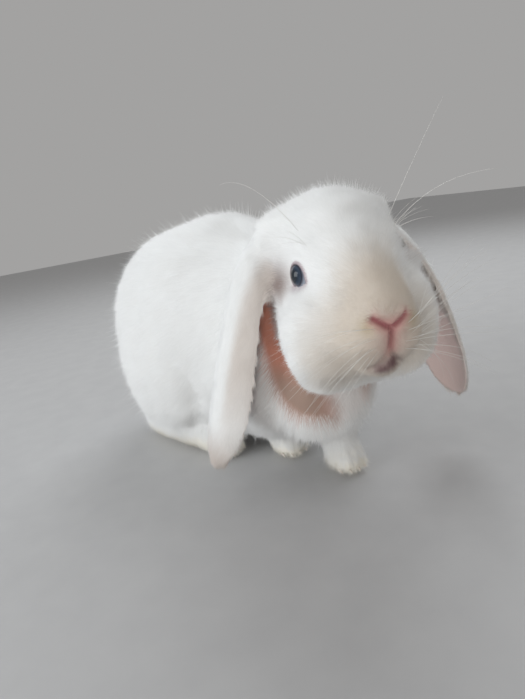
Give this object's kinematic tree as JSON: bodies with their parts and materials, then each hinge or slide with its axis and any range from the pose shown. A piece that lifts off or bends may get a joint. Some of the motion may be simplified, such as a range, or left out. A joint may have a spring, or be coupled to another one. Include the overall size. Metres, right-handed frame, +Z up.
{
  "type": "lop rabbit",
  "caption": "Life-size still model of a sitting white lop rabbit with hanging ears, blue eyes and a short plush coat, its head turned a little to one side.",
  "frame": {"origin": "middle of the underside of the whole model's box, on the floor it sits on", "axes": "+Z up, -Y the way the animal faces, +X its left side"},
  "size_m": [0.2018, 0.3518, 0.2342],
  "materials": {
    "coat": "short plush white fur, matt",
    "eye": "wet gloss, blue iris and dark pupil",
    "claw": "satin horn",
    "whisker": "satin white bristle"
  },
  "bodies": {
    "root": {"head": "coat", "neck": "coat", "trunk": "coat", "tail": "coat", "ear_right": "coat", "ear_left": "coat", "thigh_right": "coat", "thigh_left": "coat", "hind_foot_right": "coat", "hind_foot_left": "coat", "foreleg_right": "coat", "foreleg_left": "coat", "forepaw_right": "coat", "forepaw_left": "coat", "eye_right": "eye", "eye_left": "eye", "hind_claw_right_1": "claw", "hind_claw_right_2": "claw", "hind_claw_right_3": "claw", "hind_claw_right_4": "claw", "hind_claw_left_1": "claw", "hind_claw_left_2": "claw", "hind_claw_left_3": "claw", "hind_claw_left_4": "claw", "front_claw_right_1": "claw", "front_claw_right_2": "claw", "front_claw_right_3": "claw", "front_claw_right_4": "claw", "front_claw_left_1": "claw", "front_claw_left_2": "claw", "front_claw_left_3": "claw", "front_claw_left_4": "claw", "brow_whisker_left_1": "whisker", "brow_whisker_left_2": "whisker", "brow_whisker_right_1": "whisker"}
  },
  "joints": []
}
